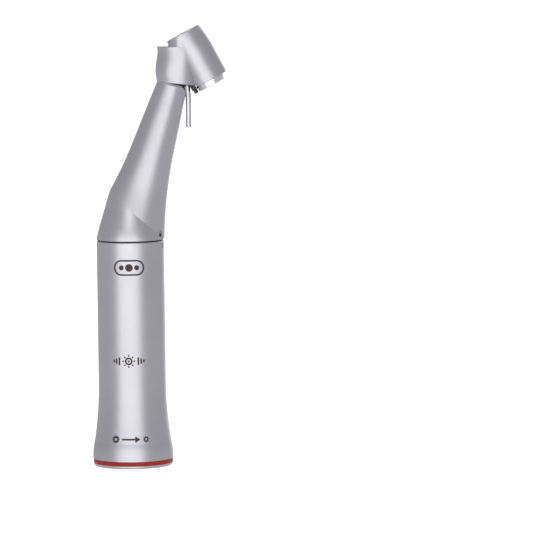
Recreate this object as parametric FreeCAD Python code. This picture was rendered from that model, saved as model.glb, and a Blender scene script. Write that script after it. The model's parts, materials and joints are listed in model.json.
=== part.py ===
"""High speed dental handpiece: a surgical contra-angle with a 45 degree head, a push-button chuck, a 1:2.7
speed-increasing gear train, a shaft-driven generator that feeds a work light, and a twist-off outer sleeve.

Frame, in millimetres: +Z runs up the handle from the centre of the rear rim to the elbow, the neck leans
towards +X, and XZ is the plane of symmetry. Three axes carry everything that turns:
  handle axis  along +Z, from the motor socket to the elbow apex
  neck axis    from the elbow apex up to the head apex, tilted towards +X
  head axis    from the head apex down to the bur tip, 45 degrees from the neck axis
"""

import FreeCAD
import Part

import math
import os

Vector = FreeCAD.Vector

# ---------------------------------------------------------------- driving dimensions
NECK_TILT = 17.4  # degrees between the handle axis and the neck axis
HEAD_ANGLE = 45.0  # degrees between the neck axis and the head axis
ELBOW_Z = 60.0  # height of the elbow apex on the handle axis
NECK_LENGTH = 48.13  # from the elbow apex to the head apex

SLEEVE_R = 8.33  # straight part of the handle
SLEEVE_REAR_R = 9.93  # flared rear end
SLEEVE_BORE_R = 7.4
SEAM_Z = 55.78  # top of the outer sleeve
SEAM_GAP = 0.25  # holds the black seal
RUNNING_GAP = 0.05  # between pieces that turn or slide on each other

# gear train: teeth, and cone distances of the inner and outer ends of the teeth
BELL_TEETH = 24
PINION_TEETH = 15
ELBOW_CONE = (4.4, 5.7)
NECK_GEAR_TEETH = 22
ROTOR_TEETH = 13
HEAD_CONE = (5.9, 7.1)
PRESSURE_ANGLE = math.radians(22.5)
ADDENDUM = 0.70  # in modules: stub teeth
DEDENDUM = 0.95
TOOTH_SHARE = 0.46  # of the pitch, the rest of the half pitch being backlash

# outer profile of the neck, by distance along the neck axis
NECK_TIP_S = 35.55
NECK_TIP_R = 3.78
NECK_TAPER_X = 0.0927
NECK_TAPER_Y = 0.0700
NECK_FLARE_S = 19.0  # the flare in the plane of symmetry starts here
NECK_FLARE = 0.00478
NECK_FLARE_Y_S = (1.4, 11.0)  # the stretch with a flare across that plane
NECK_FLARE_Y = 0.0090
NECK_OFFSET_X = 0.15
NECK_WALL = 0.75
ELBOW_R = 8.35
ELBOW_SECTIONS = (  # height above the elbow's foot, half widths in x and in y
    (2.7, 7.75, 8.00),
    (5.5, 6.93, 7.14),
    (8.8, 5.93, 6.06),
    (15.2, 3.70, 4.60),
)
CREASE_UPPER = (-4.35, 67.7)  # x, z of the oblique edge between elbow cone and neck
CREASE_LOWER = (8.35, 56.3)

# head body
HEAD_R = 4.72
HEAD_TOP_U = -1.07
HEAD_BOTTOM_U = 12.22
BOSS_TOP_Z = 103.5
BOSS_SECTIONS = (  # z, left end in x, half widths in x and in y
    (92.0, 7.55, 4.70, 4.05),
    (94.6, 7.15, 5.05, 4.45),
    (97.1, 6.77, 5.32, 4.66),
    (100.0, 7.03, 5.34, 4.66),
    (103.35, 7.18, 5.30, 4.50),
)

BUTTON_R = 3.05
BUTTON_FLANGE_R = 3.4
CHUCK_R = 0.80  # for a 1.6 mm bur shank
SOCKET_R = 5.5  # motor nose

# ---------------------------------------------------------------- axes and frames
TILT = math.radians(NECK_TILT)
LEAN = math.radians(HEAD_ANGLE - NECK_TILT)  # head axis from straight down
NECK_DIR = Vector(math.sin(TILT), 0, math.cos(TILT))
NECK_SIDE = Vector(math.cos(TILT), 0, -math.sin(TILT))
HEAD_DIR = Vector(math.sin(LEAN), 0, -math.cos(LEAN))
HEAD_FRONT = Vector(math.cos(LEAN), 0, math.sin(LEAN))
ELBOW = Vector(0, 0, ELBOW_Z)
HEAD_APEX = ELBOW + NECK_DIR * NECK_LENGTH
UP = Vector(0, 0, 1)
OUT = Vector(1, 0, 0)


def frame(origin, axis, side):
    """Placement that takes local Z to axis and local X to side."""
    third = axis.cross(side)
    return FreeCAD.Placement(
        FreeCAD.Matrix(
            side.x, third.x, axis.x, origin.x,
            side.y, third.y, axis.y, origin.y,
            side.z, third.z, axis.z, origin.z,
            0, 0, 0, 1,
        )
    )


AT_HANDLE = frame(Vector(0, 0, 0), UP, OUT)
AT_ELBOW = frame(ELBOW, UP, OUT)
AT_NECK = frame(ELBOW, NECK_DIR, NECK_SIDE)
AT_NECK_GEAR = frame(HEAD_APEX, NECK_DIR * -1, NECK_SIDE)
AT_HEAD = frame(HEAD_APEX, HEAD_DIR, HEAD_FRONT)


def placed(shape, where):
    moved = shape.copy()
    moved.transformShape(where.toMatrix())
    return moved


# ---------------------------------------------------------------- plain solids
def rod(radius, z0, z1):
    return Part.makeCylinder(radius, z1 - z0, Vector(0, 0, z0))


def ring(r_in, r_out, z0, z1):
    return rod(r_out, z0, z1).cut(rod(r_in, z0 - 1, z1 + 1))


def block(x0, x1, y0, y1, z0, z1):
    return Part.makeBox(x1 - x0, y1 - y0, z1 - z0, Vector(x0, y0, z0))


def turned(points):
    """Solid of revolution about Z. Points are (r, z); a point (r, z, "arc") is the middle of an arc."""
    edges = []
    n = len(points)
    i = 0
    while i < n:
        start = points[i]
        after = points[(i + 1) % n]
        if len(after) == 3:
            end = points[(i + 2) % n]
            arc = Part.Arc(at(start), at(after), at(end))
            edges.append(arc.toShape())
            i += 2
        else:
            edges.append(Part.LineSegment(at(start), at(after)).toShape())
            i += 1
    face = Part.Face(Part.Wire(edges))
    return face.revolve(Vector(0, 0, 0), UP, 360)


def at(point):
    return Vector(point[0], 0, point[1])


def sector(r_in, r_out, z0, z1, angle, width):
    """Piece of a ring centred on the azimuth angle, width degrees wide."""
    piece = Part.makeCylinder(r_out, z1 - z0, Vector(0, 0, z0), UP, width)
    piece.rotate(Vector(0, 0, 0), UP, angle - width / 2)
    return piece.cut(rod(r_in, z0 - 1, z1 + 1))


def around(piece, count, first=0.0):
    """Copies of a piece, evenly spaced about Z."""
    copies = []
    for i in range(count):
        copy = piece.copy()
        copy.rotate(Vector(0, 0, 0), UP, first + 360.0 * i / count)
        copies.append(copy)
    return copies


def coil(radius, wire, pitch, z0, z1):
    """Helical spring between two heights, measured over the wire, which has an eight-sided section."""
    helix = Part.makeHelix(pitch, z1 - z0 - 2 * wire, radius)
    corners = []
    for i in range(9):
        angle = math.radians(45 * i + 22.5)
        corners.append(Vector(radius + wire * math.cos(angle), 0, wire * math.sin(angle)))
    section = Part.makePolygon(corners)
    spring = Part.Wire(helix.Edges).makePipeShell([section], True, True)
    spring.translate(Vector(0, 0, z0 + wire))
    return spring


def routed(points, bends, radius):
    """Round wire along straight runs joined by tangent arcs, with one bend radius per corner."""
    edges = []
    start = points[0]
    for before, corner, after, bend in zip(points, points[1:], points[2:], bends):
        into = (corner - before).normalize()
        out = (after - corner).normalize()
        turn = math.acos(max(-1.0, min(1.0, into.dot(out))))
        back = bend * math.tan(turn / 2)
        a = corner - into * back
        b = corner + out * back
        inward = (out - into).normalize()
        middle = corner + inward * (bend / math.cos(turn / 2) - bend)
        edges.append(Part.LineSegment(start, a).toShape())
        edges.append(Part.Arc(a, middle, b).toShape())
        start = b
    edges.append(Part.LineSegment(start, points[-1]).toShape())
    first = (points[1] - points[0]).normalize()
    section = Part.Wire(Part.makeCircle(radius, points[0], first))
    return Part.Wire(edges).makePipeShell([section], True, True)


def half_space(point, normal, size=200.0):
    """Big block on the side of a plane that normal points to."""
    normal = Vector(normal).normalize()
    across = Vector(0, 1, 0)
    box = block(-size, size, -size, size, 0, size)
    box.transformShape(frame(point, normal, across).toMatrix())
    return box


# ---------------------------------------------------------------- bevel gears
def tooth_flank(teeth, cone, distance, tip, root):
    """Half angles of a tooth at rising radii, as (radius, azimuth, height) on the back cone."""
    back = distance * math.tan(cone)
    module = 2 * distance * math.sin(cone) / teeth
    base = back * math.cos(PRESSURE_ANGLE)
    at_pitch = TOOTH_SHARE * math.pi * math.cos(cone) / teeth

    def half_angle(rho):
        if rho <= base:
            rho = base
        alpha = math.acos(base / rho)
        inv = math.tan(alpha) - alpha
        inv_pitch = math.tan(PRESSURE_ANGLE) - PRESSURE_ANGLE
        return at_pitch + inv_pitch - inv

    flank = []
    low = back - root * module
    high = back + tip * module
    for rho in (low, max(low, base) + 0.02 * module, back, high):
        height = distance * math.cos(cone) - (rho - back) * math.sin(cone)
        flank.append((rho * math.cos(cone), half_angle(rho) / math.cos(cone), height))
    return flank


def toothed_cone(teeth, cone, distances, tip, root, phase, extra=0.0):
    """Bevel gear body with its pitch apex at the origin, opening along +Z, one tooth centred on phase.

    Every flank facet is a plane through the apex. extra lengthens both ends, for use as a cutter."""
    inner, outer = distances
    flank = tooth_flank(teeth, cone, outer, tip, root)
    z_low = inner * math.cos(cone) - extra
    z_high = outer * math.cos(cone) + extra
    rims = []
    for z in (z_low, z_high):
        rim = []
        for i in range(teeth):
            centre = phase + 2 * math.pi * i / teeth
            outline = [(r, -a, h) for r, a, h in flank] + [(r, a, h) for r, a, h in reversed(flank)]
            for r, a, h in outline:
                scale = z / h
                rim.append(Vector(r * scale * math.cos(centre + a), r * scale * math.sin(centre + a), z))
        rims.append(rim)
    low, high = rims
    count = len(low)
    faces = [
        Part.Face(Part.makePolygon(low + [low[0]])),
        Part.Face(Part.makePolygon(high + [high[0]])),
    ]
    for i in range(count):
        j = (i + 1) % count
        faces.append(Part.Face(Part.makePolygon([low[i], low[j], high[j], high[i], low[i]])))
    shell = Part.Shell(faces)
    shell.sewShape()
    solid = Part.Solid(shell)
    if solid.Volume < 0:
        solid.reverse()
    return solid


def pitch_cones(driven_teeth, driving_teeth, shaft_angle, internal):
    """Pitch cone angles (driving, driven) of a bevel pair. shaft_angle is between their opening directions."""
    ratio = driving_teeth / driven_teeth
    if internal:
        driving = math.atan2(ratio * math.sin(shaft_angle), ratio * math.cos(shaft_angle) - 1)
        return driving, driving - shaft_angle
    driving = math.atan2(ratio * math.sin(shaft_angle), 1 + ratio * math.cos(shaft_angle))
    return driving, shaft_angle - driving


BELL_CONE, PINION_CONE = pitch_cones(PINION_TEETH, BELL_TEETH, TILT, True)
NECK_GEAR_CONE, ROTOR_CONE = pitch_cones(ROTOR_TEETH, NECK_GEAR_TEETH, math.radians(HEAD_ANGLE), False)


# ---------------------------------------------------------------- ball bearings
class Bearing:
    """Deep groove ball bearing on Z, with its lower face at z0."""

    def __init__(self, r_in, r_out, width, ball_r, balls):
        self.r_in = r_in
        self.r_out = r_out
        self.width = width
        self.ball_r = ball_r
        self.balls = balls
        self.pitch_r = (r_in + r_out) / 2
        self.play = 0.03

    def groove(self, z0):
        middle = Vector(0, 0, z0 + self.width / 2)
        return Part.makeTorus(self.pitch_r, self.ball_r + self.play, middle)

    def inner_race(self, z0):
        race = ring(self.r_in, self.pitch_r - 0.62 * self.ball_r, z0, z0 + self.width)
        return race.cut(self.groove(z0))

    def outer_race(self, z0):
        race = ring(self.pitch_r + 0.62 * self.ball_r, self.r_out, z0, z0 + self.width)
        return race.cut(self.groove(z0))

    def ball(self, z0, radius):
        return Part.makeSphere(radius, Vector(self.pitch_r, 0, z0 + self.width / 2))

    def ball_set(self, z0):
        return around(self.ball(z0, self.ball_r), self.balls)

    def cage(self, z0):
        margin = 0.16
        half = 0.28 * self.ball_r
        cage = ring(self.pitch_r - half, self.pitch_r + half, z0 + margin, z0 + self.width - margin)
        middle = Vector(self.pitch_r - 1, 0, z0 + self.width / 2)
        pocket = Part.makeCylinder(self.ball_r + self.play, 2, middle, OUT)
        for hole in around(pocket, self.balls):
            cage = cage.cut(hole)
        return cage

    def cage_ratio(self):
        """Turns of the cage for one turn of the inner race."""
        return (self.pitch_r - self.ball_r) / (2 * self.pitch_r)


DRIVE_BEARING = Bearing(1.5, 3.5, 2.5, 0.60, 8)
NECK_BEARING = Bearing(1.0, 2.4, 2.0, 0.42, 8)
HEAD_UPPER_BEARING = Bearing(1.3, 2.6, 1.8, 0.42, 8)
HEAD_LOWER_BEARING = Bearing(1.5875, 3.175, 2.4, 0.52, 9)

DRIVE_BEARINGS = [(DRIVE_BEARING, 25.6), (DRIVE_BEARING, 57.0)]
NECK_BEARINGS = [(NECK_BEARING, 7.0), (NECK_BEARING, 36.9)]
HEAD_BEARINGS = [(HEAD_UPPER_BEARING, 1.9), (HEAD_LOWER_BEARING, 9.35)]


def bearing_nodes(name, bearings, where):
    """Nodes for one shaft's bearings: races, balls and cages, each a group of separate solids."""
    inner = [b.inner_race(z) for b, z in bearings]
    outer = [b.outer_race(z) for b, z in bearings]
    balls = [ball for b, z in bearings for ball in b.ball_set(z)]
    cages = [b.cage(z) for b, z in bearings]
    return {
        name + "_bearing_inner_races": placed(Part.Compound(inner), where),
        name + "_bearing_outer_races": placed(Part.Compound(outer), where),
        name + "_bearing_balls": placed(Part.Compound(balls), where),
        name + "_bearing_cages": placed(Part.Compound(cages), where),
    }


# ---------------------------------------------------------------- outer sleeve and its rear end
RIM_Z = 0.7  # top of the rear rim
BAND_Z = 1.82  # top of the colour ring
STRAIGHT_Z = 19.5  # the handle is a plain cylinder above this
LUG_Z = (50.0, 51.2)
LUG_WIDTH = 24.0
LUG_R = 7.75
LUG_COUNT = 3
UNLOCK_ANGLE = 28.0


def outer_sleeve():
    top = SEAM_Z - RUNNING_GAP
    chamfer = 0.15
    sleeve = turned([
        (8.95, BAND_Z),
        (SLEEVE_REAR_R, BAND_Z),
        (SLEEVE_REAR_R, 2.9),
        (9.85, 4.2, "arc"),
        (9.50, 6.1),
        (8.69, 12.6, "arc"),
        (SLEEVE_R, STRAIGHT_Z),
        (SLEEVE_R, top - chamfer),
        (SLEEVE_R - chamfer, top),
        (SLEEVE_BORE_R, top),
        (SLEEVE_BORE_R, 18.0),
        (8.1, 8.5),
        (8.5, 4.2),
        (8.95, 4.2),
    ])
    # bayonet: a closed gallery for the lugs, and entry slots that open at the top
    for i in range(LUG_COUNT):
        angle = 360.0 * i / LUG_COUNT
        slack = 2.0
        gallery = sector(
            SLEEVE_BORE_R - 0.3, LUG_R + 0.1, LUG_Z[0] - 0.15, LUG_Z[1] + 0.15,
            angle - UNLOCK_ANGLE / 2, LUG_WIDTH + UNLOCK_ANGLE + slack,
        )
        entry = sector(
            SLEEVE_BORE_R - 0.3, LUG_R + 0.1, LUG_Z[0] - 0.15, top + 1,
            angle - UNLOCK_ANGLE, LUG_WIDTH + slack,
        )
        sleeve = sleeve.cut(gallery).cut(entry)
    return sleeve


def rear_rim():
    """End ring pressed into the sleeve. The colour ring sits in its groove."""
    return turned([
        (7.6, 0.0),
        (9.4, 0.0),
        (9.72, 0.3),
        (9.76, RIM_Z),
        (9.2, RIM_Z),
        (9.2, BAND_Z),
        (8.95, BAND_Z),
        (8.95, 4.0),
        (8.3, 4.0),
        (7.6, 2.2),
    ])


def colour_ring():
    return turned([
        (9.2, RIM_Z),
        (9.80, RIM_Z),
        (9.87, (RIM_Z + BAND_Z) / 2, "arc"),
        (9.85, BAND_Z),
        (9.2, BAND_Z),
    ])


# ---------------------------------------------------------------- fixed parts inside the handle
CHASSIS_IN_R = 5.6
CHASSIS_OUT_R = 6.6
SPIGOT_R = 7.25
SOCKET_WALL = (3.7, 17.5)  # the stretch that the motor nose fits


def motor_socket():
    """Bush that takes the motor nose, with the latch groove for the motor's spring ring."""
    return turned([
        (SOCKET_R + 0.5, 0.3),
        (7.3, 0.3),
        (7.3, 2.0),
        (6.9, 2.0),
        (6.9, 21.5),
        (CHASSIS_IN_R, 21.5),
        (CHASSIS_IN_R, 24.5),
        (2.9, 24.5),
        (2.9, 22.5),
        (4.8, 22.5),
        (4.8, SOCKET_WALL[1]),
        (SOCKET_R, SOCKET_WALL[1]),
        (SOCKET_R, SOCKET_WALL[0]),
        (SOCKET_R + 0.45, SOCKET_WALL[0]),
        (SOCKET_R + 0.45, 2.6),
        (SOCKET_R, 2.6),
        (SOCKET_R, 0.8),
    ])


def chassis_tube():
    tube = ring(CHASSIS_IN_R, CHASSIS_OUT_R, 21.5, 56.0)
    window = block(-1.6, 1.6, -9, 0, 49.0, 51.0)
    return tube.cut(window)


def neck_spigot():
    """Ring on the chassis that carries the neck shell, with the bayonet lugs for the sleeve."""
    body = turned([
        (CHASSIS_OUT_R, 47.0),
        (SPIGOT_R, 47.0),
        (SPIGOT_R, SEAM_Z + SEAM_GAP),
        (SHELL_BORE_R, SEAM_Z + SEAM_GAP),
        (SHELL_BORE_R, 57.3),
        (CHASSIS_OUT_R, 57.3),
    ])
    lug = sector(SPIGOT_R - 0.3, LUG_R, LUG_Z[0], LUG_Z[1], 0, LUG_WIDTH)
    return body.fuse(around(lug, LUG_COUNT)).removeSplitter()


def seam_seal():
    return turned([
        (SPIGOT_R, SEAM_Z),
        (7.95, SEAM_Z),
        (8.08, SEAM_Z + SEAM_GAP / 2, "arc"),
        (7.95, SEAM_Z + SEAM_GAP),
        (SPIGOT_R, SEAM_Z + SEAM_GAP),
    ])


def front_bearing_carrier():
    z = DRIVE_BEARINGS[1][1]
    carrier = turned([
        (DRIVE_BEARING.r_out, z),
        (DRIVE_BEARING.r_out, z + DRIVE_BEARING.width + 0.4),
        (4.4, z + DRIVE_BEARING.width + 0.4),
        (6.3, z + 1.2),
        (6.3, 57.3),
        (CHASSIS_OUT_R, 57.3),
        (CHASSIS_OUT_R, 56.0),
        (CHASSIS_IN_R, 56.0),
        (CHASSIS_IN_R, 52.5),
        (4.6, 52.5),
        (2.9, 55.6),
        (2.9, z),
    ])
    return carrier.cut(lead_channel())


def lead_channel():
    """Slot through the carriers for the lamp leads."""
    return block(4.5, 7.0, -1.3, 1.3, 50.0, 62.0)


def rear_bearing_carrier():
    z = DRIVE_BEARINGS[0][1]
    return turned([
        (2.9, z - 0.6),
        (CHASSIS_IN_R, z - 0.6),
        (CHASSIS_IN_R, z + 3.2),
        (DRIVE_BEARING.r_out, z + 3.2),
        (DRIVE_BEARING.r_out, z),
        (2.9, z),
    ])


def sleeve_o_rings():
    """Two O-rings on the socket that centre the sleeve and hold it by friction."""
    rings = [Part.makeTorus(7.12, 0.22, Vector(0, 0, z)) for z in (19.0, 20.6)]
    return Part.Compound([r.cut(rod(6.9, 17, 22)) for r in rings])


# ---------------------------------------------------------------- generator
MAGNET_Z = (32.0, 44.0)
COIL_COUNT = 6


def generator_magnet():
    return ring(1.5, 3.6, *MAGNET_Z)


def stator_coils():
    coils = []
    for i in range(COIL_COUNT):
        angle = 60.0 * i
        turn = sector(3.95, 4.65, MAGNET_Z[0] - 1, MAGNET_Z[1] + 1, angle, 54)
        window = sector(3.8, 4.8, MAGNET_Z[0] + 1.5, MAGNET_Z[1] - 1.5, angle, 20)
        coils.append(turn.cut(window))
    return Part.Compound(coils)


def stator_ring():
    return ring(4.65, CHASSIS_IN_R, *MAGNET_Z)


BOARD_Z = (46.6, 47.4)


def rectifier_board():
    return ring(2.6, CHASSIS_IN_R, *BOARD_Z)


def board_parts():
    """Rectifier, capacitor and resistors on top of the board, and the two lead pads."""
    z = BOARD_Z[1]
    parts = []
    for angle, length, width, height in ((70, 1.6, 1.2, 0.8), (115, 1.0, 0.6, 0.45), (150, 1.0, 0.6, 0.45),
                                         (200, 1.9, 1.3, 1.2), (250, 1.0, 0.6, 0.45), (290, 1.6, 0.9, 0.6)):
        chip = block(4.1 - width / 2, 4.1 + width / 2, -length / 2, length / 2, z, z + height)
        chip.rotate(Vector(0, 0, 0), UP, angle)
        parts.append(chip)
    for y in LEAD_Y:
        parts.append(rod(0.35, z, z + 0.12).translated(Vector(LEAD_X, y, 0)))
    return Part.Compound(parts)


# ---------------------------------------------------------------- drive shaft
SHAFT_R = 1.5
SHAFT_TOP_Z = ELBOW_Z + 1.6
DOG_Z = (17.6, 22.6)
DOG_TRAVEL = 1.2
DOG_PIN_Z = 20.5


def drive_shaft():
    shaft = rod(SHAFT_R, 18.4, SHAFT_TOP_Z)
    collar = ring(SHAFT_R - 0.2, 2.05, 28.2, 31.9)
    front = ring(SHAFT_R - 0.2, 2.05, 44.1, 45.4)
    cross = Part.makeCylinder(0.4, 10, Vector(-5, 0, DOG_PIN_Z), OUT)
    return shaft.fuse([collar, front]).removeSplitter().cut(cross)


def dog_pin():
    return Part.makeCylinder(0.4, 4.6, Vector(-2.3, 0, DOG_PIN_Z), OUT)


def drive_dog():
    """Claw that meets the motor's driver. It slides on the shaft along the cross pin."""
    dog = ring(SHAFT_R + 0.03, 2.5, *DOG_Z)
    claws = block(-0.6, 0.6, -4, 4, DOG_Z[0] - 1, DOG_Z[0] + 0.9)
    low = DOG_PIN_Z - 0.45 - DOG_TRAVEL
    slot = block(-4, 4, -0.45, 0.45, low, DOG_PIN_Z + 0.45)
    return dog.cut(claws).cut(slot)


def dog_spring():
    return coil(2.1, 0.16, 0.75, DOG_Z[1] + 0.05, DRIVE_BEARINGS[0][1] - 0.05)


def bell_gear():
    """Bell on the drive shaft with internal bevel teeth around the neck pinion."""
    top = ELBOW_CONE[1] * math.cos(BELL_CONE)
    low = ELBOW_CONE[0] * math.cos(BELL_CONE)
    bell = turned([
        (SHAFT_R, 0.3),
        (2.3, 0.3),
        (2.3, 1.0),
        (4.1, low - 1.0),
        (4.72, low - 0.3),
        (4.72, top),
        (2.0, top),
        (2.0, low),
        (2.9, low),
        (2.9, low - 0.6),
        (SHAFT_R, low - 1.2),
    ])
    cutter = toothed_cone(BELL_TEETH, BELL_CONE, ELBOW_CONE, DEDENDUM, ADDENDUM, 0.0, extra=0.02)
    return bell.cut(cutter)


# ---------------------------------------------------------------- neck shaft
NECK_SHAFT_R = 1.0


def neck_shaft():
    pinion_end = ELBOW_CONE[0] * math.cos(PINION_CONE)
    gear_end = NECK_LENGTH - HEAD_CONE[0] * math.cos(NECK_GEAR_CONE)
    shaft = rod(NECK_SHAFT_R, pinion_end, gear_end)
    waist = ring(NECK_SHAFT_R - 0.2, 1.3, 9.05, 36.85)
    return shaft.fuse(waist).removeSplitter()


def neck_pinion():
    inner, outer = (d * math.cos(PINION_CONE) for d in ELBOW_CONE)
    teeth = toothed_cone(PINION_TEETH, PINION_CONE, ELBOW_CONE, ADDENDUM, DEDENDUM, 0.0)
    hub = rod(1.55, outer - 0.1, 6.95)
    return teeth.fuse(hub).cut(rod(NECK_SHAFT_R, inner - 1, 8))


def neck_gear():
    outer = HEAD_CONE[1] * math.cos(NECK_GEAR_CONE)
    teeth = toothed_cone(NECK_GEAR_TEETH, NECK_GEAR_CONE, HEAD_CONE, ADDENDUM, DEDENDUM, 0.0)
    hub_end = NECK_LENGTH - NECK_BEARINGS[1][1] - NECK_BEARING.width - 0.05
    hub = turned([(0, outer - 0.1), (3.0, outer - 0.1), (1.6, outer + 0.9), (1.4, hub_end), (0, hub_end)])
    return teeth.fuse(hub).cut(rod(NECK_SHAFT_R, 1, hub_end + 1))


# ---------------------------------------------------------------- neck and elbow shell
SHELL_BORE_R = 7.2  # where the spigot is screwed in


def oval(centre, rx, ry):
    """Elliptical outline in a plane of constant z."""
    if rx >= ry:
        ellipse = Part.Ellipse(centre + Vector(rx, 0, 0), centre + Vector(0, ry, 0), centre)
    else:
        ellipse = Part.Ellipse(centre + Vector(0, ry, 0), centre + Vector(-rx, 0, 0), centre)
    return Part.Wire(ellipse.toShape())


def neck_solid(inset_x, inset_y, stations):
    """Tapered neck: a loft of ellipses across the neck axis, flaring towards the elbow."""
    wires = []
    for s in stations:
        below = max(0.0, NECK_FLARE_S - s)
        below_y = max(0.0, NECK_FLARE_Y_S[1] - max(s, NECK_FLARE_Y_S[0]))
        rx = NECK_TIP_R + NECK_TAPER_X * (NECK_TIP_S - s) + NECK_FLARE * below * below - inset_x
        ry = NECK_TIP_R + NECK_TAPER_Y * (NECK_TIP_S - s) + NECK_FLARE_Y * below_y * below_y - inset_y
        wires.append(oval(Vector(NECK_OFFSET_X * NECK_SIDE.x, 0, s), rx, ry))
    return placed(Part.makeLoft(wires, True, False), AT_NECK)


def elbow_cone(inset):
    """Upright cone above the seam, with bulging sides, wider across than in the plane of symmetry."""
    z0 = SEAM_Z + SEAM_GAP
    wires = [oval(Vector(0, 0, z0), ELBOW_R - inset, ELBOW_R - inset)]
    for height, rx, ry in ELBOW_SECTIONS:
        wires.append(oval(Vector(0, 0, z0 + height), rx - inset, ry - inset))
    return Part.makeLoft(wires, True, False)


def neck_body(inset_x, inset_y, stations):
    """Elbow cone below the oblique crease and neck above it."""
    upper = Vector(CREASE_UPPER[0], 0, CREASE_UPPER[1])
    along = Vector(CREASE_LOWER[0] - CREASE_UPPER[0], 0, CREASE_LOWER[1] - CREASE_UPPER[1])
    normal = Vector(-along.z, 0, along.x)
    above = half_space(upper, normal)
    over_seam = half_space(Vector(0, 0, SEAM_Z + SEAM_GAP), UP)
    neck = neck_solid(inset_x, inset_y, stations).common(above).common(over_seam)
    cone = elbow_cone(inset_x).cut(above)
    return cone.fuse(neck).removeSplitter()


def neck_shell():
    outer = neck_body(0.0, 0.0, (NECK_TIP_S, 30.0, 24.5, NECK_FLARE_S, 14.0, 9.0, 4.0, -1.0, -5.0))
    inner = neck_body(NECK_WALL, 0.6, (NECK_TIP_S + 1, 30.0, 24.5, NECK_FLARE_S, 14.0, 9.0, 4.0, -1.0, -5.0))
    bore = rod(SHELL_BORE_R, SEAM_Z, 57.3)
    edge = turned([
        (ELBOW_R - 0.12, SEAM_Z + SEAM_GAP),
        (ELBOW_R + 1.0, SEAM_Z + SEAM_GAP - 1.12),
        (ELBOW_R + 1.0, SEAM_Z + SEAM_GAP + 1.12),
    ])
    return outer.cut(inner).cut(bore).cut(edge).cut(tube_groove())


def neck_tip_ring():
    """Polished end ring of the neck, bevelled outside. The head rests on its high side."""
    low = NECK_TIP_S
    tip = turned([(2.0, low), (NECK_TIP_R, low), (NECK_TIP_R - 0.03, low + 0.15), (3.42, TIP_RING_S), (2.0, TIP_RING_S)])
    tip.translate(Vector(NECK_OFFSET_X * NECK_SIDE.x, 0, 0))
    tip = placed(tip.cut(rod(COLLAR_R, low - 1, TIP_RING_S + 1)), AT_NECK)
    tip = tip.cut(above_base()).cut(tube_groove())
    for lead in lead_solids():
        tip = tip.cut(lead)
    return tip


FLANGE_S = (6.6, 9.4)
COLLAR_S = (34.9, 39.2)
COLLAR_R = 2.75
TIP_RING_S = 36.12
CHAMBER_S = 43.2


def core_tube():
    """Inner tube of the neck: it holds both neck bearings, and its collar joins neck and head."""
    tube = turned([
        (NECK_BEARING.r_out, FLANGE_S[0]),
        (5.0, FLANGE_S[0]),
        (5.0, 8.2),
        (3.2, FLANGE_S[1]),
        (2.45, 12.0),
        (2.45, COLLAR_S[0]),
        (COLLAR_R, COLLAR_S[0]),
        (COLLAR_R, COLLAR_S[1]),
        (NECK_BEARING.r_out, COLLAR_S[1]),
        (NECK_BEARING.r_out, NECK_BEARINGS[1][1]),
        (1.9, NECK_BEARINGS[1][1]),
        (1.9, NECK_BEARINGS[0][1] + NECK_BEARING.width),
        (NECK_BEARING.r_out, NECK_BEARINGS[0][1] + NECK_BEARING.width),
    ])
    slot = block(4.05, 6.0, -1.3, 1.3, FLANGE_S[0] - 1, FLANGE_S[1] + 1)
    groove = block(2.4, 3.5, -1.3, 1.3, 30.0, 36.7)
    return placed(tube.cut(slot).cut(groove), AT_NECK)


# ---------------------------------------------------------------- head body
BASE_LEFT = Vector(7.17, 0, 95.12)  # the head's underside starts here, at the neck's rim
BASE_SLOPE = math.radians(-7.2)
INSERT_U = (0.9, 2.4)
INSERT_R = 3.75
SEAT_U = (8.95, 11.0)  # seat of the lower bearing, up to the thread for the end ring
THREAD_R = 3.6
TUBE_TOP = Vector(14.42, 0, 94.75)
TUBE_BEND = Vector(14.76, 0, 91.0)
TUBE_END = Vector(14.76, 0, 83.5)
TUBE_R = 0.68
TUBE_BORE_R = 0.42
HOSE_SEAT_R = 0.64
HOSE_SEAT_Z = 87.7  # the hose slides on up to here, where the tube starts to widen
WIDE_Z = 90.4


def above_base():
    """Everything above the head's underside."""
    normal = Vector(-math.sin(BASE_SLOPE), 0, math.cos(BASE_SLOPE))
    return half_space(BASE_LEFT, normal)


def head_barrel():
    """Barrel around the head axis. Towards the top its front side draws in and its rear side doesn't."""
    barrel = turned([
        (0, 4.4),
        (HEAD_R, 4.4),
        (HEAD_R, HEAD_BOTTOM_U - 0.15),
        (HEAD_R - 0.15, HEAD_BOTTOM_U),
        (0, HEAD_BOTTOM_U),
    ])
    sections = []
    for u, front, rear in ((4.4, HEAD_R, HEAD_R), (1.8, 4.53, 4.78), (HEAD_TOP_U + 0.08, 4.14, 4.80)):
        centre = Vector((front - rear) / 2, 0, u)
        sections.append(Part.Wire(Part.makeCircle((front + rear) / 2, centre)))
    chamfer = Part.makeCone(4.47, 4.39, 0.08, Vector(-0.33, 0, HEAD_TOP_U + 0.08), UP * -1)
    upper = Part.makeLoft(sections, True, False)
    return placed(barrel.fuse([upper, chamfer]), AT_HEAD)


def head_boss():
    """Upright oval boss that joins the head to the neck, with a chamfered top."""
    wires = []
    for z, left, rx, ry in BOSS_SECTIONS:
        wires.append(oval(Vector(left + rx, 0, z), rx, ry))
    chamfer = BOSS_TOP_Z - z
    top = oval(Vector(left + rx, 0, BOSS_TOP_Z), rx - chamfer, ry - chamfer)
    body = Part.makeLoft(wires, True, False)
    return body.fuse(Part.makeLoft([wires[-1], top], True, True))


def head_crown():
    """Narrower oval on the boss that carries the flank up to the head's top."""
    foot = Part.Face(oval(Vector(13.2, 0, BOSS_TOP_Z - 1), 3.25, 4.4))
    over_top = half_space(HEAD_APEX + HEAD_DIR * (HEAD_TOP_U + 0.35), HEAD_DIR * -1)
    return foot.extrude(Vector(0, 0, 5)).cut(over_top)


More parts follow.
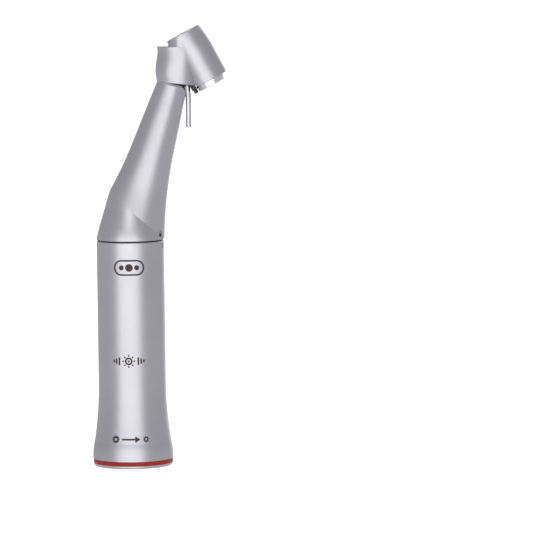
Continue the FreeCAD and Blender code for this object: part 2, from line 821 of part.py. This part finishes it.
def head_cavity():
    """Bores along the head axis, the gear chamber along the neck axis, and the seat of the core tube."""
    bores = turned([
        (0, -3),
        (INSERT_R, -3),
        (INSERT_R, 3.0),
        (3.3, 3.0),
        (3.3, SEAT_U[0]),
        (HEAD_LOWER_BEARING.r_out, SEAT_U[0]),
        (HEAD_LOWER_BEARING.r_out, SEAT_U[1]),
        (THREAD_R, SEAT_U[1]),
        (THREAD_R, HEAD_BOTTOM_U + 1),
        (0, HEAD_BOTTOM_U + 1),
    ])
    chamber = rod(3.8, COLLAR_S[1], CHAMBER_S)
    seat = rod(COLLAR_R, 30.0, COLLAR_S[1] + 0.1)
    return [placed(bores, AT_HEAD), placed(chamber.fuse(seat), AT_NECK)]


def head_shell():
    body = head_barrel().fuse([head_boss(), head_crown()]).removeSplitter()
    body = body.common(above_base())
    for cavity in head_cavity():
        body = body.cut(cavity)
    return body.cut(tube_solid(TUBE_R)).cut(lamp_body())


# ---------------------------------------------------------------- coolant tube and lamp
def tube_solid(radius):
    return routed([TUBE_TOP, TUBE_BEND, TUBE_END], [6.0], radius)


def tube_groove():
    """Room for the tube in the side of the neck's tip."""
    return tube_solid(TUBE_R + 0.08)


def coolant_tube():
    seat = turned([
        (HOSE_SEAT_R, TUBE_END.z - 1),
        (2.0, TUBE_END.z - 1),
        (2.0, WIDE_Z),
        (TUBE_R + 0.01, WIDE_Z),
        (HOSE_SEAT_R, HOSE_SEAT_Z),
    ])
    tube = tube_solid(TUBE_R).cut(seat.translated(Vector(TUBE_END.x, 0, 0)))
    bore = routed([TUBE_TOP + (TUBE_TOP - TUBE_BEND) * 0.2, TUBE_BEND, TUBE_END - UP], [6.0], TUBE_BORE_R)
    return tube.cut(bore)


LAMP_R = 0.52
LAMP_F = -4.27  # the lamp stands just behind the chuck
LAMP_TIP_U = 13.6
PLATE_X = 14.1  # the lamp's plate starts here, where the leads come in
AT_LAMP = frame(HEAD_APEX + HEAD_FRONT * LAMP_F, HEAD_DIR, HEAD_FRONT)


def lamp_body():
    """Outside of the lamp: a thin plate around the coolant tube, a foot and a short barrel."""
    foot = block(-0.75, 0.5, -1.2, 1.2, 10.5, 12.7)
    foot = foot.makeChamfer(0.2, [edge for edge in foot.Edges if edge.BoundBox.ZMin > 12.6])
    barrel = rod(LAMP_R, 10.5, LAMP_TIP_U)
    plate = block(PLATE_X, 16.2, -1.2, 1.2, 93.0, 95.0).cut(above_base())
    plate = plate.common(above_base().translated(Vector(0, 0, -0.38)))
    body = plate.fuse(placed(foot.fuse(barrel), AT_LAMP)).removeSplitter()
    return body.cut(tube_solid(TUBE_R))


def lamp_housing():
    """Black lamp body, under the head between coolant tube and chuck."""
    hollow = turned([(0, 11.7), (0.32, 11.7), (0.32, 12.6), (0.41, 12.6), (0.41, 15), (0, 15)])
    return lamp_body().cut(placed(hollow, AT_LAMP))


def lamp_lens():
    lens = turned([(0, 12.6), (0.41, 12.6), (0.41, 13.4), (0.30, 13.52), (0, 13.56)])
    return placed(lens, AT_LAMP)


def lamp_led():
    return placed(block(-0.22, 0.22, -0.22, 0.22, 11.7, 12.1), AT_LAMP)


def neck_gasket():
    """Black packing that fills the wedge between the neck's end ring and the head's underside."""
    packing = placed(ring(COLLAR_R, 3.4, TIP_RING_S, 39.0), AT_NECK)
    packing = packing.cut(above_base()).cut(tube_groove()).cut(lamp_body())
    for lead in lead_solids():
        packing = packing.cut(lead)
    return packing


LEAD_X = 4.95
LEAD_Y = (-0.92, 0.92)
LEAD_R = 0.2


def lead_solids():
    """Two insulated leads from the board, past the gears and up the neck to the lamp."""
    def in_neck(r, s):
        return ELBOW + NECK_DIR * s + NECK_SIDE * r

    leads = []
    for y in LEAD_Y:
        points = [
            Vector(LEAD_X, 0, BOARD_Z[1] + 0.12),
            Vector(LEAD_X, 0, 60.2),
            Vector(6.3, 0, 63.0),
            in_neck(4.45, 6.0),
            in_neck(4.35, 11.0),
            in_neck(2.62, 32.5),
            in_neck(2.62, 36.5),
            Vector(PLATE_X, 0, 94.02),
        ]
        lead = routed(points, (1.6, 1.6, 1.6, 3.0, 8.0, 0.6), LEAD_R)
        lead.translate(Vector(0, y, 0))
        leads.append(lead)
    return leads


def lamp_leads():
    return Part.Compound(lead_solids())


# ---------------------------------------------------------------- rotor, chuck and button
def rotor_spindle():
    """Hollow spindle with the rotor pinion cut on it."""
    inner, outer = (d * math.cos(ROTOR_CONE) for d in HEAD_CONE)
    spindle = turned([
        (0.6, 1.6),
        (1.3, 1.6),
        (1.3, 3.75),
        (1.42, 3.75),
        (1.42, outer),
        (1.85, outer),
        (1.85, 9.3),
        (1.5875, 9.3),
        (1.5875, 11.8),
        (1.5, 11.8),
        (1.5, 13.35),
        (1.1, 13.35),
        (1.1, 4.0),
        (0.6, 4.0),
    ])
    space = math.pi + math.pi / ROTOR_TEETH  # a tooth space faces the neck gear
    teeth = toothed_cone(ROTOR_TEETH, ROTOR_CONE, HEAD_CONE, ADDENDUM, DEDENDUM, space)
    teeth = teeth.cut(rod(1.25, inner - 1, outer + 1))
    return placed(spindle.fuse(teeth).removeSplitter(), AT_HEAD)


def chuck_collet():
    """Split sleeve that grips the bur shank."""
    collet = ring(CHUCK_R, 1.08, 4.4, 13.2)
    for angle in (0, 120, 240):
        slit = block(0, 2, -0.12, 0.12, 5.6, 13.3)
        slit.rotate(Vector(0, 0, 0), UP, angle)
        collet = collet.cut(slit)
    return placed(collet, AT_HEAD)


def release_plunger():
    plunger = turned([(0, 1.15), (0.55, 1.15), (0.55, 3.3), (0.35, 3.6), (0, 3.6)])
    return placed(plunger, AT_HEAD)


def head_top_insert():
    """Threaded insert under the button: spring seat above, upper bearing seat below."""
    insert = turned([
        (1.35, 1.3),
        (3.0, 1.3),
        (3.0, INSERT_U[0]),
        (INSERT_R, INSERT_U[0]),
        (INSERT_R, INSERT_U[1]),
        (3.1, INSERT_U[1]),
        (3.1, 3.7),
        (HEAD_UPPER_BEARING.r_out, 3.7),
        (HEAD_UPPER_BEARING.r_out, 1.9),
        (1.35, 1.9),
    ])
    return placed(insert, AT_HEAD)


def button_cap():
    """Ring screwed into the top of the head. Its lip keeps the button in."""
    cap = turned([
        (BUTTON_R + RUNNING_GAP, HEAD_TOP_U + 0.05),
        (BUTTON_R + RUNNING_GAP + 0.05, HEAD_TOP_U),
        (INSERT_R - 0.06, HEAD_TOP_U),
        (INSERT_R, HEAD_TOP_U + 0.06),
        (INSERT_R, INSERT_U[0]),
        (BUTTON_FLANGE_R + RUNNING_GAP, INSERT_U[0]),
        (BUTTON_FLANGE_R + RUNNING_GAP, -0.43),
        (BUTTON_R + RUNNING_GAP, -0.43),
    ])
    return placed(cap, AT_HEAD)


def push_button():
    button = turned([
        (0, HEAD_TOP_U + 0.02),
        (1.2, HEAD_TOP_U + 0.02),
        (1.3, HEAD_TOP_U + 0.1),
        (1.4, HEAD_TOP_U + 0.02),
        (2.1, HEAD_TOP_U + 0.02),
        (2.2, HEAD_TOP_U + 0.1),
        (2.3, HEAD_TOP_U + 0.02),
        (BUTTON_R - 0.1, HEAD_TOP_U + 0.02),
        (BUTTON_R, HEAD_TOP_U + 0.12),
        (BUTTON_R, -0.38),
        (BUTTON_FLANGE_R, -0.38),
        (BUTTON_FLANGE_R, 0.0),
        (2.8, 0.0),
        (2.8, -0.45),
        (0.5, -0.45),
        (0.5, 1.0),
        (0, 1.0),
    ])
    return placed(button, AT_HEAD)


def button_spring():
    return placed(coil(2.3, 0.14, 0.7, -0.42, 1.25), AT_HEAD)


def head_end_ring():
    """Threaded ring under the head: it holds the lower bearing, and four holes take its key."""
    end = turned([
        (2.75, 11.75),
        (3.2, 11.75),
        (3.2, 11.1),
        (THREAD_R, 11.1),
        (THREAD_R, HEAD_BOTTOM_U),
        (3.7, HEAD_BOTTOM_U),
        (3.7, 12.72),
        (3.62, 12.80),
        (3.42, 12.80),
        (3.42, 12.92),
        (3.55, 12.95),
        (3.55, 13.38),
        (3.33, 13.6),
        (2.2, 13.6),
        (1.75, 13.3),
        (1.75, 12.35),
        (2.75, 12.35),
    ])
    for hole in around(Part.makeCylinder(0.27, 2, Vector(2.9, 0, 12.46), OUT), 4, 47.5):
        end = end.cut(hole)
    return placed(end, AT_HEAD)


def preload_spring():
    """Wave washer that loads the lower bearing, drawn at its working height."""
    return placed(ring(2.72, 3.1, 9.0, 9.25), AT_HEAD)


# ---------------------------------------------------------------- all nodes
def gear_nodes():
    return {
        "bell_gear": placed(bell_gear(), AT_ELBOW),
        "neck_shaft": placed(neck_shaft(), AT_NECK),
        "neck_pinion": placed(neck_pinion(), AT_NECK),
        "neck_gear": placed(neck_gear(), AT_NECK_GEAR),
        "rotor_spindle": rotor_spindle(),
    }


def casing_nodes():
    return {
        "outer_sleeve": outer_sleeve(),
        "colour_ring": colour_ring(),
        "rear_rim": rear_rim(),
        "neck_shell": neck_shell(),
        "core_tube": core_tube(),
        "neck_tip_ring": neck_tip_ring(),
        "neck_gasket": neck_gasket(),
        "head_shell": head_shell(),
        "head_end_ring": head_end_ring(),
        "head_top_insert": head_top_insert(),
        "button_cap": button_cap(),
    }


def handle_nodes():
    return {
        "motor_socket": motor_socket(),
        "chassis_tube": chassis_tube(),
        "neck_spigot": neck_spigot(),
        "seam_seal": seam_seal(),
        "sleeve_o_rings": sleeve_o_rings(),
        "front_bearing_carrier": front_bearing_carrier(),
        "rear_bearing_carrier": rear_bearing_carrier(),
        "drive_shaft": drive_shaft(),
        "dog_pin": dog_pin(),
        "drive_dog": drive_dog(),
        "dog_spring": dog_spring(),
        "generator_magnet": generator_magnet(),
        "stator_ring": stator_ring(),
        "stator_coils": stator_coils(),
        "rectifier_board": rectifier_board(),
        "board_parts": board_parts(),
    }


def small_head_nodes():
    return {
        "coolant_tube": coolant_tube(),
        "lamp_housing": lamp_housing(),
        "lamp_lens": lamp_lens(),
        "lamp_led": lamp_led(),
        "lamp_leads": lamp_leads(),
        "chuck_collet": chuck_collet(),
        "release_plunger": release_plunger(),
        "push_button": push_button(),
        "button_spring": button_spring(),
        "preload_spring": preload_spring(),
    }


def all_nodes():
    nodes = {}
    nodes.update(casing_nodes())
    nodes.update(handle_nodes())
    nodes.update(gear_nodes())
    nodes.update(small_head_nodes())
    nodes.update(bearing_nodes("drive", DRIVE_BEARINGS, AT_HANDLE))
    nodes.update(bearing_nodes("neck", NECK_BEARINGS, AT_NECK))
    nodes.update(bearing_nodes("head", HEAD_BEARINGS, AT_HEAD))
    return nodes


def export(nodes):
    os.makedirs("parts", exist_ok=True)
    for name, shape in nodes.items():
        shape.exportStep(os.path.join("parts", name + ".step"))
        state = "ok" if shape.isValid() else "INVALID"
        print(f"{name:28s} {state} solids {len(shape.Solids):3d} volume {shape.Volume:9.3f}")


export(all_nodes())
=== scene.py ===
"""Looks for the surgical contra-angle handpiece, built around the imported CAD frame."""

import json
import math

import bmesh
import bpy
from mathutils import Matrix, Vector
from mathutils.bvhtree import BVHTree


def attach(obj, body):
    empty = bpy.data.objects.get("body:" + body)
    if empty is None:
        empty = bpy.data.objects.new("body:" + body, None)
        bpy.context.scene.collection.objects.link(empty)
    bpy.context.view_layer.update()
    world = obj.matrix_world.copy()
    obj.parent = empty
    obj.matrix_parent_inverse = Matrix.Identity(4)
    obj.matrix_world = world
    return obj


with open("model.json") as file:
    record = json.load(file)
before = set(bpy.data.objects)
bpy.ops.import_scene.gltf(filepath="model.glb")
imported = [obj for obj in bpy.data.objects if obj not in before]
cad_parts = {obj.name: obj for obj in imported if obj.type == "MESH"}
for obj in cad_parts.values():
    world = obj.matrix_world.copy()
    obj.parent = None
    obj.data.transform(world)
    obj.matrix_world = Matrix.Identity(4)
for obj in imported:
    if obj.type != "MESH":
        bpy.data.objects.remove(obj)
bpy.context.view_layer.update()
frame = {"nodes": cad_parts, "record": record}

MM = 0.001

# ---------------------------------------------------------------- camera
SENSOR_MM = 36.0
LENS_MM = 310.909
CAMERA_DISTANCE_MM = 1172.84
CAMERA_TILT = 5.4  # degrees above the horizon
CAMERA_ROLL = 0.66  # degrees
CAMERA_TARGET = Vector((0.03559, 0.0, 0.04671))


def make_camera():
    data = bpy.data.cameras.new("camera")
    data.sensor_fit = "HORIZONTAL"
    data.sensor_width = SENSOR_MM
    data.lens = LENS_MM
    data.clip_start = 0.05
    data.clip_end = 30.0
    camera = bpy.data.objects.new("camera", data)
    bpy.context.collection.objects.link(camera)
    tilt = math.radians(CAMERA_TILT)
    back = Vector((0.0, -math.cos(tilt), math.sin(tilt)))
    place = CAMERA_TARGET + back * CAMERA_DISTANCE_MM * MM
    look = (-back).to_track_quat("-Z", "Y").to_matrix().to_4x4()
    roll = Matrix.Rotation(math.radians(-CAMERA_ROLL), 4, "Z")
    camera.matrix_world = Matrix.Translation(place) @ look @ roll
    bpy.context.scene.camera = camera


# ---------------------------------------------------------------- studio
COOL = (0.97, 0.965, 1.0)
PAPER_LIGHT = 0.60  # strength of the light from below
ROOM_LIGHT = 0.46  # strength of the light from above
PAPER_ENDS = 0.36  # the height at which it starts to fade: 0 is straight down, 1 is straight up
ROOM_STARTS = 0.56
LIGHT_TARGET = Vector((0.004, 0.0, 0.055))
LIGHTS = (  # name, place, width and height in metres, watts
    ("key", (-0.12, -1.0, 0.0), 1.60, 0.64, 3.9),
    ("brow", (-0.02, -0.80, 0.66), 0.50, 0.10, 0.9),
    ("rear_fill", (0.25, 1.0, 0.25), 0.70, 0.80, 1.6),
    ("top", (0.0, 0.0, 1.1), 0.5, 0.5, 1.0),
)
FLOOR_REACH = 12.0  # half the width of the floor, in metres
FLOOR_GLOW = 0.80


def area_light(name, place, width, height, power):
    """Rectangular light that points at the middle of the object."""
    data = bpy.data.lights.new(name, "AREA")
    data.shape = "RECTANGLE"
    data.size = width
    data.size_y = height
    data.energy = power
    light = bpy.data.objects.new(name, data)
    bpy.context.collection.objects.link(light)
    aim = (LIGHT_TARGET - Vector(place)).to_track_quat("-Z", "Y")
    light.matrix_world = Matrix.Translation(Vector(place)) @ aim.to_matrix().to_4x4()


def studio_world():
    """Pale light from below the horizon, as from a paper sweep, and a dim room above it."""
    world = bpy.data.worlds.new("studio")
    world.use_nodes = True
    nodes = world.node_tree.nodes
    links = world.node_tree.links
    direction = nodes.new("ShaderNodeTexCoord")
    parts = nodes.new("ShaderNodeSeparateXYZ")
    ramp = nodes.new("ShaderNodeValToRGB")
    links.new(direction.outputs["Generated"], parts.inputs["Vector"])
    height = nodes.new("ShaderNodeMapRange")
    height.inputs["From Min"].default_value = -1.0
    height.inputs["From Max"].default_value = 1.0
    links.new(parts.outputs["Z"], height.inputs["Value"])
    links.new(height.outputs["Result"], ramp.inputs["Fac"])
    low, high = ramp.color_ramp.elements
    low.position = PAPER_ENDS
    low.color = (*[v * PAPER_LIGHT for v in COOL], 1.0)
    high.position = ROOM_STARTS
    high.color = (*[v * ROOM_LIGHT for v in COOL], 1.0)
    links.new(ramp.outputs["Color"], nodes["Background"].inputs["Color"])
    bpy.context.scene.world = world


def make_studio():
    studio_world()
    bpy.context.scene.view_settings.view_transform = "Standard"
    bpy.context.scene.view_settings.look = "None"
    for light in LIGHTS:
        area_light(*light)

    mesh = bpy.data.meshes.new("floor")
    signs = ((-1, -1), (1, -1), (1, 1), (-1, 1))
    corners = [(x * FLOOR_REACH, y * FLOOR_REACH, 0) for x, y in signs]
    mesh.from_pydata(corners, [], [(0, 1, 2, 3)])
    floor = bpy.data.objects.new("floor", mesh)
    bpy.context.collection.objects.link(floor)
    floor.data.materials.append(floor_material())
    floor.visible_glossy = False


def floor_material():
    material, _, _, shader = new_material("floor_paper")
    shader.inputs["Base Color"].default_value = (0.93, 0.93, 0.93, 1.0)
    shader.inputs["Roughness"].default_value = 0.9
    shader.inputs["Emission Color"].default_value = (1.0, 1.0, 1.0, 1.0)
    shader.inputs["Emission Strength"].default_value = FLOOR_GLOW
    return material


# ---------------------------------------------------------------- material helpers
NOISE_LOW = 0.3  # most of the noise lies between these two values
NOISE_HIGH = 0.7


def new_material(name):
    material = bpy.data.materials.new(name)
    material.use_nodes = True
    nodes = material.node_tree.nodes
    links = material.node_tree.links
    return material, nodes, links, nodes["Principled BSDF"]


def noise(nodes, links, scale, detail=4.0, roughness=0.55, stretch=(1.0, 1.0, 1.0)):
    """Noise in object space, with its scale in features per metre."""
    place = nodes.new("ShaderNodeTexCoord")
    mapping = nodes.new("ShaderNodeMapping")
    mapping.inputs["Scale"].default_value = stretch
    texture = nodes.new("ShaderNodeTexNoise")
    texture.inputs["Scale"].default_value = scale
    texture.inputs["Detail"].default_value = detail
    texture.inputs["Roughness"].default_value = roughness
    links.new(place.outputs["Object"], mapping.inputs["Vector"])
    links.new(mapping.outputs["Vector"], texture.inputs["Vector"])
    return texture


def colour_range(nodes, links, source, low, high):
    ramp = nodes.new("ShaderNodeValToRGB")
    ramp.color_ramp.elements[0].position = NOISE_LOW
    ramp.color_ramp.elements[0].color = (*low, 1.0)
    ramp.color_ramp.elements[1].position = NOISE_HIGH
    ramp.color_ramp.elements[1].color = (*high, 1.0)
    links.new(source.outputs["Fac"], ramp.inputs["Fac"])
    return ramp


def value_range(nodes, links, source, low, high):
    spread = nodes.new("ShaderNodeMapRange")
    spread.inputs["From Min"].default_value = NOISE_LOW
    spread.inputs["From Max"].default_value = NOISE_HIGH
    spread.inputs["To Min"].default_value = low
    spread.inputs["To Max"].default_value = high
    links.new(source.outputs["Fac"], spread.inputs["Value"])
    return spread


def bump(nodes, links, source, shader, strength, distance):
    node = nodes.new("ShaderNodeBump")
    node.inputs["Strength"].default_value = strength
    node.inputs["Distance"].default_value = distance
    links.new(source.outputs["Fac"], node.inputs["Height"])
    links.new(node.outputs["Normal"], shader.inputs["Normal"])


def surface(name, low, high, rough, grain, strength, depth, metallic, cloud, stretch):
    """Material with a clouded colour, an uneven roughness and a fine grain in its bump."""
    material, nodes, links, shader = new_material(name)
    shader.inputs["Metallic"].default_value = metallic
    patches = noise(nodes, links, cloud, 5.0)
    ramp = colour_range(nodes, links, patches, low, high)
    links.new(ramp.outputs["Color"], shader.inputs["Base Color"])
    fine = noise(nodes, links, grain, 3.0, 0.6, stretch)
    spread = value_range(nodes, links, fine, rough[0], rough[1])
    links.new(spread.outputs["Result"], shader.inputs["Roughness"])
    bump(nodes, links, fine, shader, strength, depth)
    return material


# ---------------------------------------------------------------- materials
# Dark and light colour, roughness range, grain per metre, bump strength, bump depth in metres, metallic.
SURFACES = {
    "satin_steel": ((0.6, 0.591, 0.634), (0.64, 0.631, 0.676), (0.36, 0.44), 5200.0, 0.22, 0.00004, 1.0),
    "polished_steel": ((0.76, 0.76, 0.78), (0.82, 0.82, 0.84), (0.07, 0.12), 2600.0, 0.05, 0.00001, 1.0),
    # Lighter copy of polished steel for the end ring: the raised colour is a painted highlight, the higher
    # roughness spreads the real highlight.
    "highlight_painted_steel": ((0.90, 0.90, 0.92), (0.95, 0.95, 0.97), (0.20, 0.26), 2600.0, 0.06, 0.00001, 1.0),
    "machined_steel": ((0.58, 0.58, 0.60), (0.66, 0.66, 0.68), (0.22, 0.34), 1500.0, 0.15, 0.00002, 1.0),
    "hard_steel": ((0.44, 0.45, 0.48), (0.54, 0.55, 0.58), (0.18, 0.30), 2600.0, 0.10, 0.00001, 1.0),
    "ball_steel": ((0.78, 0.78, 0.80), (0.84, 0.84, 0.86), (0.05, 0.09), 3000.0, 0.03, 0.00001, 1.0),
    "brass": ((0.72, 0.50, 0.22), (0.82, 0.62, 0.30), (0.20, 0.34), 1800.0, 0.12, 0.00001, 1.0),
    "red_ring": ((0.24, 0.014, 0.006), (0.31, 0.022, 0.009), (0.26, 0.38), 2400.0, 0.10, 0.00002, 0.0),
    "black_rubber": ((0.01, 0.01, 0.012), (0.022, 0.022, 0.026), (0.55, 0.75), 3000.0, 0.25, 0.00003, 0.0),
    "black_plastic": ((0.012, 0.012, 0.014), (0.025, 0.025, 0.03), (0.30, 0.45), 2800.0, 0.20, 0.00002, 0.0),
    "cage_plastic": ((0.38, 0.22, 0.10), (0.48, 0.30, 0.14), (0.45, 0.60), 2400.0, 0.20, 0.00002, 0.0),
    "led": ((0.85, 0.66, 0.16), (0.95, 0.78, 0.24), (0.35, 0.5), 3000.0, 0.1, 0.00001, 0.0),
    "copper": ((0.50, 0.17, 0.07), (0.66, 0.27, 0.12), (0.25, 0.40), 5000.0, 0.8, 0.00012, 0.9),
    "magnet": ((0.46, 0.46, 0.48), (0.58, 0.58, 0.60), (0.18, 0.28), 2200.0, 0.08, 0.00001, 1.0),
    "lamination": ((0.12, 0.12, 0.14), (0.24, 0.24, 0.27), (0.35, 0.55), 1400.0, 0.6, 0.00008, 0.8),
    "board": ((0.012, 0.10, 0.045), (0.020, 0.16, 0.07), (0.25, 0.38), 2600.0, 0.15, 0.00002, 0.0),
    "chips": ((0.03, 0.03, 0.032), (0.07, 0.07, 0.075), (0.40, 0.60), 3600.0, 0.3, 0.00003, 0.0),
    "lead_jacket": ((0.02, 0.02, 0.022), (0.05, 0.05, 0.055), (0.35, 0.5), 2600.0, 0.2, 0.00002, 0.0),
    "laser_mark": ((0.018, 0.010, 0.009), (0.055, 0.028, 0.020), (0.45, 0.60), 6000.0, 0.15, 0.00002, 0.0),
}
EVEN_GRAIN = (1, 1, 1)
STRETCHED_GRAIN = {
    "machined_steel": (1, 1, 14),
    "copper": (0.15, 0.15, 1.6),
    "lamination": (0.05, 0.05, 3.0),
}
CLOUD = 90.0  # features per metre in the colour
FINE_CLOUD = {"laser_mark": 900.0}  # the marks are small, so their colour varies over a shorter distance
RED_SPECULAR = 0.25
HIGHLIGHT_PAINTED_NODES = ("head_end_ring",)  # these get a lighter copy of their slot's steel: its raised colour is a painted highlight, and its higher roughness widens the lamps' real highlight


def make_materials():
    made = {}
    for name, look in SURFACES.items():
        cloud = FINE_CLOUD.get(name, CLOUD)
        made[name] = surface(name, *look, cloud, STRETCHED_GRAIN.get(name, EVEN_GRAIN))
    red_shader = made["red_ring"].node_tree.nodes["Principled BSDF"]
    red_shader.inputs["Specular IOR Level"].default_value = RED_SPECULAR
    made["lens"] = lens_material()
    return made


def lens_material():
    material, nodes, links, shader = new_material("lens")
    shader.inputs["Base Color"].default_value = (0.94, 0.97, 1.0, 1.0)
    shader.inputs["Transmission Weight"].default_value = 0.85
    shader.inputs["IOR"].default_value = 1.49
    fine = noise(nodes, links, 1800.0)
    spread = value_range(nodes, links, fine, 0.03, 0.09)
    links.new(spread.outputs["Result"], shader.inputs["Roughness"])
    return material


def dress_cad_nodes(materials):
    slots = {part["node"]: part["material_slot"] for part in frame["record"]["subparts"]}
    for node, piece in frame["nodes"].items():
        piece.data.materials.clear()
        # The end ring takes the lighter steel, whose raised colour is a painted highlight.
        look = "highlight_painted_steel" if node in HIGHLIGHT_PAINTED_NODES else slots[node]
        piece.data.materials.append(materials[look])


# ---------------------------------------------------------------- marks
FRONT = -math.pi / 2  # azimuth of the side that faces the camera
HANDLE_R = 8.33  # radius of the handle where the marks lie, in millimetres
MARK_LIFT = 0.02  # how far a mark stands off the metal, in millimetres
MARK_EDGE = 0.16  # a mark's edges are cut until they are no longer than this, to follow the round surface
MARK_PASSES = 7
RAY_START = 0.05  # distance from the handle's axis, in metres, well outside the handle


def circle(x, y, radius, steps=40):
    return [
        (x + radius * math.cos(2 * math.pi * i / steps), y + radius * math.sin(2 * math.pi * i / steps))
        for i in range(steps)
    ]


def bar(x0, y0, x1, y1, width):
    """Straight stroke between two points."""
    along = Vector((x1 - x0, y1 - y0)).normalized()
    side = Vector((-along.y, along.x)) * width / 2
    return [
        (x0 + side.x, y0 + side.y),
        (x1 + side.x, y1 + side.y),
        (x1 - side.x, y1 - side.y),
        (x0 - side.x, y0 - side.y),
    ]


def capsule(half_length, radius, steps=16):
    loop = []
    for side in (1, -1):
        for i in range(steps + 1):
            angle = -math.pi / 2 + math.pi * i / steps
            loop.append((side * (half_length + radius * math.cos(angle)), side * radius * math.sin(angle)))
    return loop


def flat_mesh(name, loops):
    """Flat filled mesh of closed loops in millimetres; a loop inside another is a hole."""
    curve = bpy.data.curves.new(name, "CURVE")
    curve.dimensions = "2D"
    curve.fill_mode = "BOTH"
    for loop in loops:
        spline = curve.splines.new("POLY")
        spline.points.add(len(loop) - 1)
        for point, (x, y) in zip(spline.points, loop):
            point.co = (x, y, 0.0, 1.0)
        spline.use_cyclic_u = True
    holder = bpy.data.objects.new(name, curve)
    bpy.context.collection.objects.link(holder)
    bpy.context.view_layer.update()
    mesh = bpy.data.meshes.new_from_object(holder.evaluated_get(bpy.context.evaluated_depsgraph_get()))
    bpy.data.objects.remove(holder)
    work = bmesh.new()
    work.from_mesh(mesh)
    bmesh.ops.remove_doubles(work, verts=work.verts, dist=1e-4)
    bmesh.ops.triangulate(work, faces=work.faces)
    for _ in range(MARK_PASSES):
        long = [edge for edge in work.edges if edge.calc_length() > MARK_EDGE]
        if long:
            bmesh.ops.subdivide_edges(work, edges=long, cuts=1)
            bmesh.ops.triangulate(work, faces=work.faces)
    work.to_mesh(mesh)
    work.free()
    return mesh


def surface_point(tree, azimuth, level):
    """Point where a level ray towards the handle's axis meets a piece, and the direction outwards."""
    out = Vector((math.cos(azimuth), math.sin(azimuth), 0))
    return tree.ray_cast(out * RAY_START + Vector((0, 0, level)), -out)[0], out


def wrapped_mark(name, loops, node, angle, height, materials, body):
    """Mark laid on an upright round surface, centred at an azimuth and a height in millimetres."""
    mesh = flat_mesh(name, loops)
    piece = bpy.data.objects.new(name, mesh)
    bpy.context.collection.objects.link(piece)
    tree = BVHTree.FromObject(frame["nodes"][node], bpy.context.evaluated_depsgraph_get())
    middle = surface_point(tree, angle, height * MM)[0]
    radius = math.hypot(middle.x, middle.y)
    for vertex in mesh.vertices:
        turn = angle + vertex.co.x * MM / radius
        hit, out = surface_point(tree, turn, height * MM + vertex.co.y * MM)
        vertex.co = hit + out * MARK_LIFT * MM
    mesh.materials.append(materials["laser_mark"])
    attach(piece, body)


def emblem():
    """Long capsule outline with a row of three dots."""
    return [
        capsule(1.9, 1.95),
        capsule(1.9, 1.55),
        circle(-1.9, 0, 0.62),
        circle(0, 0, 0.95),
        circle(1.9, 0, 0.62),
    ]


def light_symbol():
    """Lamp with rays between short bars."""
    loops = [circle(0, 0, 0.95), circle(0, 0, 0.53), circle(0, 0, 0.26)]
    for i in range(8):
        a = math.pi * i / 4
        x, y = math.cos(a), math.sin(a)
        loops.append(bar(1.15 * x, 1.15 * y, 1.6 * x, 1.6 * y, 0.36))
    for side in (-1, 1):
        for x, half in ((2.35, 0.95), (3.08, 0.65), (3.78, 0.35)):
            loops.append(bar(side * x, -half, side * x, half, 0.42))
    return loops


def gear_symbol():
    """Larger gear, an arrow, and a smaller gear."""
    loops = []
    for x, radius, teeth in ((-3.7, 1.02, 10), (3.95, 0.78, 8)):
        outline = []
        for i in range(teeth * 4):
            a = 2 * math.pi * i / (teeth * 4)
            r = radius if i % 4 < 2 else radius * 0.76
            outline.append((x + r * math.cos(a), r * math.sin(a)))
        loops.append(outline)
        loops.append(circle(x, 0, radius * 0.36, 20))
    upper = [(-2.1, 0.21), (1.2, 0.21), (1.2, 0.8), (2.5, 0.0)]
    lower = [(x, -y) for x, y in reversed(upper[:-1])]
    loops.append(upper + lower)
    return loops


def lock_symbol():
    """Closed padlock."""
    loops = [[(-0.52, -0.62), (0.52, -0.62), (0.52, 0.12), (-0.52, 0.12)]]
    shackle = []
    for radius, turn in ((0.40, 1), (0.22, -1)):
        shackle.append((-turn * radius, 0.18))
        for i in range(9):
            a = math.pi - math.pi * i / 8
            shackle.append((turn * radius * math.cos(a), 0.28 + radius * math.sin(a)))
        shackle.append((turn * radius, 0.18))
    loops.append(shackle)
    return loops


def unlock_bar():
    """Short upright bar below the padlock."""
    return [bar(0, -0.6, 0, 0.6, 0.42)]


def aside(across):
    """Azimuth of a point of the front that lies this far, in millimetres, to the right of the middle."""
    return FRONT + across / HANDLE_R


MARKS = (  # name, outline, node it lies on, azimuth, height in millimetres, body it rides on
    ("mark_emblem", emblem, "outer_sleeve", aside(-0.20), 49.65, "sleeve"),
    ("mark_light", light_symbol, "outer_sleeve", aside(-0.57), 26.6, "sleeve"),
    ("mark_ratio", gear_symbol, "outer_sleeve", aside(-0.37), 7.35, "sleeve"),
    ("mark_unlock_bar", unlock_bar, "outer_sleeve", math.radians(-17), 54.6, "sleeve"),
    ("mark_lock", lock_symbol, "neck_shell", math.radians(-24), 57.5, "head_section"),
)


def make_marks(materials):
    for name, outline, node, azimuth, height, body in MARKS:
        wrapped_mark(name, outline(), node, azimuth, height, materials, body)


# ---------------------------------------------------------------- scene
make_camera()
make_studio()
materials = make_materials()
dress_cad_nodes(materials)
make_marks(materials)
